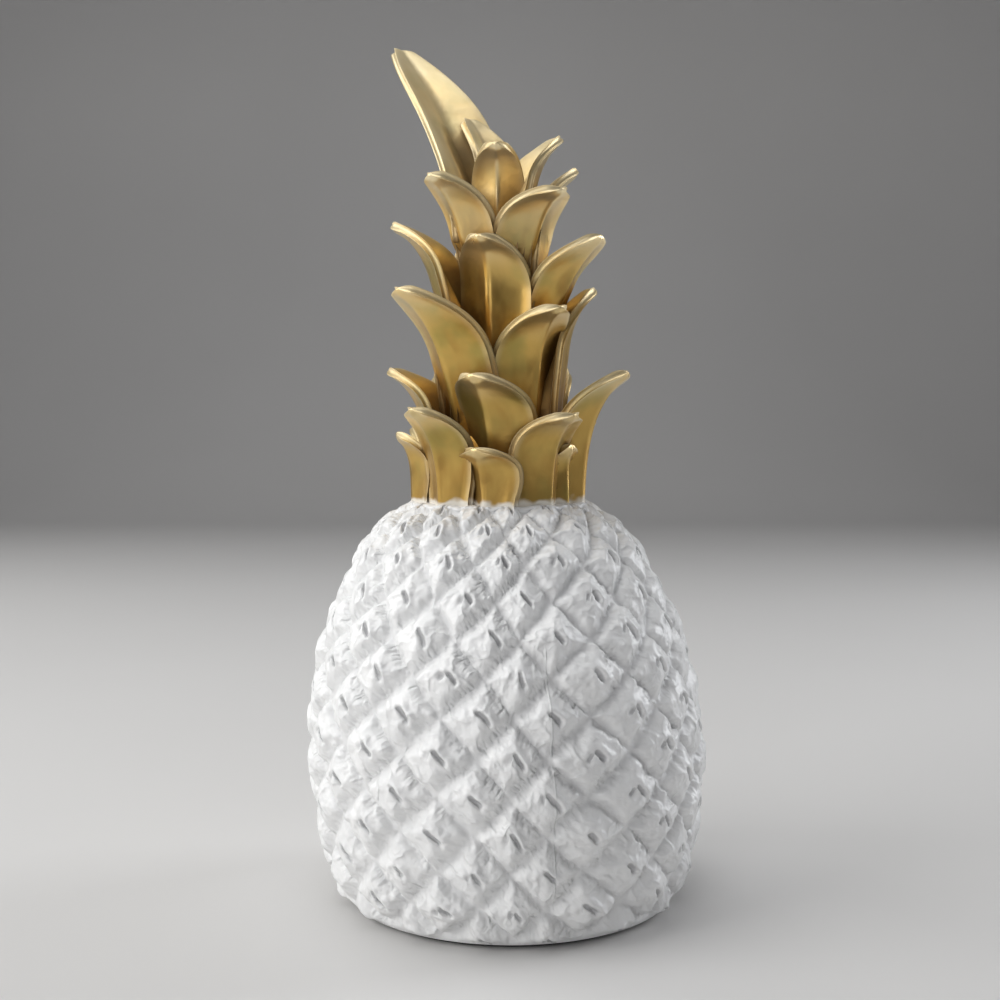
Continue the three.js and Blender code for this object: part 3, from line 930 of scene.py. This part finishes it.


# White satin paint over cast resin, painted darker grey in the grooves and slits as painted shade;
# noises are given as scale, detail and roughness
WHITE_LIT = (0.88, 0.88, 0.875)
WHITE_WORN = (0.82, 0.822, 0.82)
WHITE_PAINTED_SHADE = (0.6, 0.6, 0.605)
WHITE_CLOUD_NOISE = (90.0, 3.0)
WHITE_GRAIN_NOISE = (900.0, 4.0, 0.6)
WHITE_GRAIN_HEIGHT = 0.08 * MM
BROAD_BUMP_SHARE = 0.25
LIT_SHARES = (0.35, 0.7)
GROOVE_SHADE_SHARES = (0.6, 1.1)
GROOVE_SHADE_SHARE = 0.3
SLIT_SHADE_SHARES = (0.1, 0.6)
WHITE_ROUGHNESS = 0.36
WHITE_SHADE_ROUGHNESS = 0.14
WHITE_CLOUD_ROUGHNESS = 0.1
WHITE_SPECULAR = 0.5
WHITE_COAT = 0.2
WHITE_COAT_ROUGHNESS = 0.2


def white_paint():
    material, graph, output = new_finish("white satin paint")
    place = object_place(graph)
    parts = graph.add("ShaderNodeSeparateXYZ", {}, {0: place})
    turned = (parts - CROWN_SHIFT * HALF).math("ARCTAN2", -graph.also(parts, 1))
    column = graph.add("ShaderNodeSeparateXYZ", {}, {0: attribute(graph, "lattice", "Vector")})
    row = graph.also(column, 1)
    hollow = attribute(graph, "hollow")
    _, broad, fine, slit = fruitlet(graph, column, row, turned)
    cloud = graph.noise(place, *WHITE_CLOUD_NOISE)
    grain = graph.noise(place, *WHITE_GRAIN_NOISE)
    # Painted shade: the grooves and slits are painted grey where shade falls in them, and the same
    # mask raises the roughness
    groove_shade = hollow.fade(*GROOVE_SHADE_SHARES) * GROOVE_SHADE_SHARE
    painted_shade = groove_shade.at_least(slit.fade(*SLIT_SHADE_SHARES))
    base = graph.blend(cloud.fade(*LIT_SHARES), WHITE_WORN, WHITE_LIT)
    roughness = WHITE_ROUGHNESS + WHITE_SHADE_ROUGHNESS * painted_shade
    height = broad * BROAD_BUMP_SHARE + fine + (grain - HALF) * WHITE_GRAIN_HEIGHT
    set_surface(graph, output, {
        "Base Color": graph.blend(painted_shade, base, WHITE_PAINTED_SHADE),
        "Roughness": roughness + WHITE_CLOUD_ROUGHNESS * (cloud - HALF),
        "Normal": bumped(graph, height),
        "Specular IOR Level": WHITE_SPECULAR,
        "Coat Weight": WHITE_COAT,
        "Coat Roughness": WHITE_COAT_ROUGHNESS,
    })
    return material


# Satin gold paint, from painted champagne highlights to the painted brown shade of the crevices, and
# what it reads of a leaf
LEAF_MARKS = ("rim", "crevice", "tipward", "inner", "across")
GOLD_HIGHLIGHT = (0.88, 0.74, 0.46)
GOLD_MID = (0.72, 0.47, 0.125)
GOLD_OLIVE = (0.48, 0.37, 0.1)
GOLD_WARM = (0.54, 0.28, 0.055)
GOLD_SHADE_BROWN = (0.13, 0.06, 0.012)
WASH_WHITE = (0.9, 0.88, 0.82)
GOLD_CLOUD_NOISE = (55.0, 3.0)
GOLD_PATCH_NOISE = (130.0, 2.0)
GOLD_GRAIN_NOISE = (1400.0, 3.0, 0.6)
STREAK_NOISE = (1.0, 2.0)
STREAK_STRETCH_SHARES = (2.2, 1.6, 9.0)
OLIVE_SHARES = (0.42, 0.68)

# Warm streaks fade toward the leaf's tip and toward the top of the crown
WARM_ROOT_SHARE = 0.9
WARM_TIP_SHARE = 1.5
WARM_STREAK_SHARE = 1.8
WARM_SHARES = (0.0, 0.9)
WARM_TOP_SHARES = (0.5, 0.7)
WARM_TOP_LOSS_SHARE = 0.6
WARM_LEAST_SHARE = 0.35
WARM_FOOT_SHARES = (0.0, 0.2)
WARM_FOOT_GAIN_SHARE = 0.5

# Painted shade in brown streaks runs along the keels and darkens the crown's foot
KEEL_WIDTH_SHARE = 0.4
KEEL_END_SHARES = (0.35, 0.8)
KEEL_STREAK_SHARES = (0.42, 0.62)
KEEL_SHADE_SHARE = 0.5
LOW_SHARES = (0.15, 0.42)
LOW_SHADE_SHARE = 0.12
LOW_STREAK_SHARE = 0.36

# Painted highlight: champagne is painted on the rims, the tips, the upper leaves and the inner
# faces, where the light falls
RIM_HIGHLIGHT_SHARE = 0.35
TIP_SHARES = (0.6, 1.0)
TIP_HIGHLIGHT_SHARE = 0.5
TOP_SHARES = (0.4, 0.75)
TOP_LIGHT_SHARE = 0.7
TOP_INNER_LOSS_SHARE = 0.4
INNER_LIGHT_SHARE = 0.2
HIGHLIGHT_LEAST_SHARE = 0.55
HIGHLIGHT_PATCH_SHARE = 0.7

# Painted brown shade in the crevices, the white wash at the crown's foot, and the finish
CREVICE_PATCH_SHARE = 0.5
CREVICE_SHARES = (0.08, 0.75)
CREVICE_INNER_LOSS_SHARE = 0.7
CREVICE_SHADE_SHARE = 0.65
FOOT_WASH_HEIGHT_SHARE = 0.012
FOOT_WASH_STRAY_SHARE = 0.05
FOOT_WASH_SHARE = 0.8
GOLD_METALLIC = 0.75
WASH_DULL_SHARE = 0.9
RIM_DULL_SHARE = 0.1
GOLD_ROUGHNESS = 0.25
GOLD_CLOUD_ROUGHNESS = 0.08
GOLD_DEEP_ROUGHNESS = 0.14
GOLD_RIM_ROUGHNESS = 0.06
GOLD_INNER_ROUGHNESS = 0.14
GOLD_PATCH_HEIGHT = 0.2 * MM
GOLD_GRAIN_HEIGHT = 0.02 * MM


def gold_color(graph, height, marks, cloud, patch):
    """Colour of the gold before the painted crevice shade darkens it, from places on the crown and
    leaf, with its painted highlight and shade.
    """
    rim, tipward, inner, across = [marks[name] for name in ("rim", "tipward", "inner", "across")]
    stretched = [
        part * stretch for part, stretch in zip((across, tipward, height), STREAK_STRETCH_SHARES)
    ]
    streak = graph.noise(graph.vector(*stretched), *STREAK_NOISE)
    mid = graph.blend(cloud.fade(*OLIVE_SHARES), GOLD_MID, GOLD_OLIVE)
    warm = WARM_ROOT_SHARE - tipward * WARM_TIP_SHARE + WARM_STREAK_SHARE * (streak - HALF)
    warm = warm.fade(*WARM_SHARES) * (1 - height.fade(*WARM_TOP_SHARES) * WARM_TOP_LOSS_SHARE)
    warm = warm * (WARM_LEAST_SHARE + WARM_FOOT_GAIN_SHARE * height.fade(*WARM_FOOT_SHARES))
    mid = graph.blend(warm, mid, GOLD_WARM)
    # Painted shade along the keels and toward the crown's foot, broken up by the streak noise
    keel = across.bell(KEEL_WIDTH_SHARE) * (1 - tipward.fade(*KEEL_END_SHARES))
    keel = keel * streak.fade(*KEEL_STREAK_SHARES)
    low = (1 - height.fade(*LOW_SHARES)) * (LOW_SHADE_SHARE + LOW_STREAK_SHARE * streak)
    mid = graph.blend((keel * KEEL_SHADE_SHARE).at_least(low), mid, GOLD_SHADE_BROWN)
    # Painted highlight: champagne on the rims, tips, upper leaves and inner faces
    top = height.fade(*TOP_SHARES) * TOP_LIGHT_SHARE * (1 - inner * TOP_INNER_LOSS_SHARE)
    pale = rim * RIM_HIGHLIGHT_SHARE + tipward.fade(*TIP_SHARES) * TIP_HIGHLIGHT_SHARE + top
    pale = (pale + inner * INNER_LIGHT_SHARE).at_most(1)
    pale = pale * (HIGHLIGHT_LEAST_SHARE + HIGHLIGHT_PATCH_SHARE * patch).at_most(1)
    return graph.blend(pale, mid, GOLD_HIGHLIGHT)


def gold_paint():
    material, graph, output = new_finish("satin gold paint")
    place = object_place(graph)
    parts = graph.add("ShaderNodeSeparateXYZ", {}, {0: place})
    height = (graph.also(parts, 2) - BODY_HEIGHT) / CROWN_HEIGHT
    marks = {name: attribute(graph, name) for name in LEAF_MARKS}
    cloud = graph.noise(place, *GOLD_CLOUD_NOISE)
    patch = graph.noise(place, *GOLD_PATCH_NOISE)
    grain = graph.noise(place, *GOLD_GRAIN_NOISE)
    color = gold_color(graph, height, marks, cloud, patch)
    # Painted shade: the gold is painted brown where other leaves shut off the sky round a point
    deep = (marks["crevice"] + CREVICE_PATCH_SHARE * (patch - HALF)).fade(*CREVICE_SHARES)
    deep = deep * (1 - CREVICE_INNER_LOSS_SHARE * marks["inner"] * marks["tipward"])
    color = graph.blend(deep * CREVICE_SHADE_SHARE, color, GOLD_SHADE_BROWN)
    wash = FOOT_WASH_HEIGHT_SHARE - height + FOOT_WASH_STRAY_SHARE * (patch - HALF)
    wash = wash.fade(0.0, FOOT_WASH_HEIGHT_SHARE)
    roughness = GOLD_ROUGHNESS + GOLD_CLOUD_ROUGHNESS * cloud + GOLD_DEEP_ROUGHNESS * deep
    roughness = roughness + GOLD_RIM_ROUGHNESS * marks["rim"]
    roughness = roughness + GOLD_INNER_ROUGHNESS * marks["inner"]
    metallic = GOLD_METALLIC * (1 - wash * WASH_DULL_SHARE) * (1 - marks["rim"] * RIM_DULL_SHARE)
    relief = (patch - HALF) * GOLD_PATCH_HEIGHT + (grain - HALF) * GOLD_GRAIN_HEIGHT
    set_surface(graph, output, {
        "Base Color": graph.blend(wash * FOOT_WASH_SHARE, color, WASH_WHITE),
        "Metallic": metallic,
        "Roughness": roughness,
        "Normal": bumped(graph, relief),
    })
    return material


# Charcoal felt
FELT_DARK = (0.018, 0.017, 0.018)
FELT_PALE = (0.05, 0.048, 0.05)
FIBRE_NOISE = (1600.0, 5.0, 0.7)
TUFT_NOISE = (260.0, 3.0)
FIBRE_COLOR_SHARE = 0.6
TUFT_COLOR_SHARE = 0.4
FIBRE_HEIGHT = 0.25 * MM
TUFT_HEIGHT = 0.2 * MM
FELT_ROUGHNESS = 0.9
FIBRE_ROUGHNESS = 0.08
FELT_SHEEN = 0.4


def felt_cloth():
    material, graph, output = new_finish("charcoal felt")
    place = object_place(graph)
    fibre = graph.noise(place, *FIBRE_NOISE)
    tuft = graph.noise(place, *TUFT_NOISE)
    mixed = fibre * FIBRE_COLOR_SHARE + tuft * TUFT_COLOR_SHARE
    set_surface(graph, output, {
        "Base Color": graph.blend(mixed, FELT_DARK, FELT_PALE),
        "Roughness": FELT_ROUGHNESS + FIBRE_ROUGHNESS * (fibre - HALF),
        "Normal": bumped(graph, fibre * FIBRE_HEIGHT + tuft * TUFT_HEIGHT),
        "Sheen Weight": FELT_SHEEN,
    })
    return material


white = white_paint()
gold = gold_paint()
felt = felt_cloth()

# White body
body_piece = body_skin()
grow(body_piece, fruitlet_tree(white), TREE_INPUTS)
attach(body_piece, "root")
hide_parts("white_body")

# Gold leaves, one for each leaf of the frame
leaf_pieces = []
for leaf in LEAVES:
    piece = leaf_piece(leaf)
    piece.data.materials.append(gold)
    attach(piece, "root")
    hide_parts(f"leaf_{leaf['name']}")
    leaf_pieces.append(piece)
mark_crevices(leaf_pieces)

# Core and foot keep the frame's own shape
for node_name, finish in (("crown_core", gold), ("felt_foot", felt)):
    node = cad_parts[node_name]
    node.data.materials.clear()
    node.data.materials.append(finish)

# Plain pale floor with a curved backdrop
FLOOR_HALF_WIDTH = 4.0
FLOOR_FRONT = -3.0
FLOOR_BACK = 1.6
SWEEP_RADIUS = 0.8
WALL_TOP = 4.0
SWEEP_STEPS = 24
FLOOR_NOISE = (3.0, 2.0)
FLOOR_DARK = (0.62, 0.61, 0.6)
FLOOR_PALE = (0.66, 0.65, 0.64)
FLOOR_ROUGHNESS = 0.6


def add_floor():
    side = [(FLOOR_FRONT, 0.0)]
    for index in range(SWEEP_STEPS + 1):
        angle = index / SWEEP_STEPS * math.pi / 2
        place = (
            FLOOR_BACK + SWEEP_RADIUS * math.sin(angle),
            SWEEP_RADIUS * (1 - math.cos(angle)),
        )
        side.append(place)
    side.append((FLOOR_BACK + SWEEP_RADIUS, WALL_TOP))
    vertices = [(x, y, z) for y, z in side for x in (-FLOOR_HALF_WIDTH, FLOOR_HALF_WIDTH)]
    faces = [(2 * i, 2 * i + 1, 2 * i + 3, 2 * i + 2) for i in range(len(side) - 1)]
    piece = finish_mesh("floor_sweep", vertices, faces)
    material, graph, output = new_finish("pale floor")
    cloud = graph.noise(object_place(graph), *FLOOR_NOISE)
    color = graph.blend(cloud, FLOOR_DARK, FLOOR_PALE)
    set_surface(graph, output, {"Base Color": color, "Roughness": FLOOR_ROUGHNESS})
    piece.data.materials.append(material)
    piece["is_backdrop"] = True


add_floor()

# Soft studio light, strongest from the upper left
# Columns: name, place, width and height in metres, watts, colour
AIM_POINT = Vector((0, 0, 0.15))
LIGHTS = [
    ("key", (-1.3, -0.45, 0.7), (1.2, 1.2), 14, (0.99, 0.99, 0.98)),
    ("front", (-0.5, -1.5, 0.55), (0.45, 1.0), 4.3, (0.97, 0.98, 1.0)),
    ("right", (1.2, 0.45, 0.52), (0.5, 0.9), 8, (0.95, 0.97, 1.0)),
    ("top", (-0.2, 0.1, 1.3), (1.0, 1.0), 9, (0.99, 1.0, 1.0)),
    ("back_left", (-1.3, 0.7, 0.55), (0.6, 0.9), 4.5, (1.0, 1.0, 0.99)),
]


def add_light(name, place, size, power, color):
    data = bpy.data.lights.new(name, "AREA")
    data.shape = "RECTANGLE"
    data.size, data.size_y = size
    data.energy = power
    data.color = color
    lamp = bpy.data.objects.new(name, data)
    lamp.location = place
    lamp.rotation_mode = "QUATERNION"
    lamp.rotation_quaternion = (AIM_POINT - lamp.location).to_track_quat("-Z", "Y")
    bpy.context.scene.collection.objects.link(lamp)


for light in LIGHTS:
    add_light(*light)

# Faint light from all round
WORLD_COLOR = (0.8, 0.8, 0.84, 1)
WORLD_STRENGTH = 0.12
world = bpy.data.worlds.new("studio")
world.use_nodes = True
background = world.node_tree.nodes["Background"]
background.inputs["Color"].default_value = WORLD_COLOR
background.inputs["Strength"].default_value = WORLD_STRENGTH
bpy.context.scene.world = world

# Camera at the photograph's angle
CAMERA_PLACE = (-0.00365, -0.49, 0.1705)
CAMERA_DIP = math.radians(3.7)
CAMERA_LENS = 50.6
CAMERA_SENSOR = 36
CAMERA_NEAR = 0.01
camera_data = bpy.data.cameras.new("camera")
camera_data.lens = CAMERA_LENS
camera_data.sensor_width = CAMERA_SENSOR
camera_data.clip_start = CAMERA_NEAR
camera = bpy.data.objects.new("camera", camera_data)
camera.location = CAMERA_PLACE
camera.rotation_euler = (math.pi / 2 - CAMERA_DIP, 0, 0)
bpy.context.scene.collection.objects.link(camera)
bpy.context.scene.camera = camera

bpy.context.scene.view_settings.view_transform = "Standard"

# Size of the object, as it came and as it is here
bpy.context.view_layer.update()
final_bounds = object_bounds()
sizes = {
    "cad": [list(corner) for corner in cad_bounds],
    "visual": [list(corner) for corner in final_bounds],
}
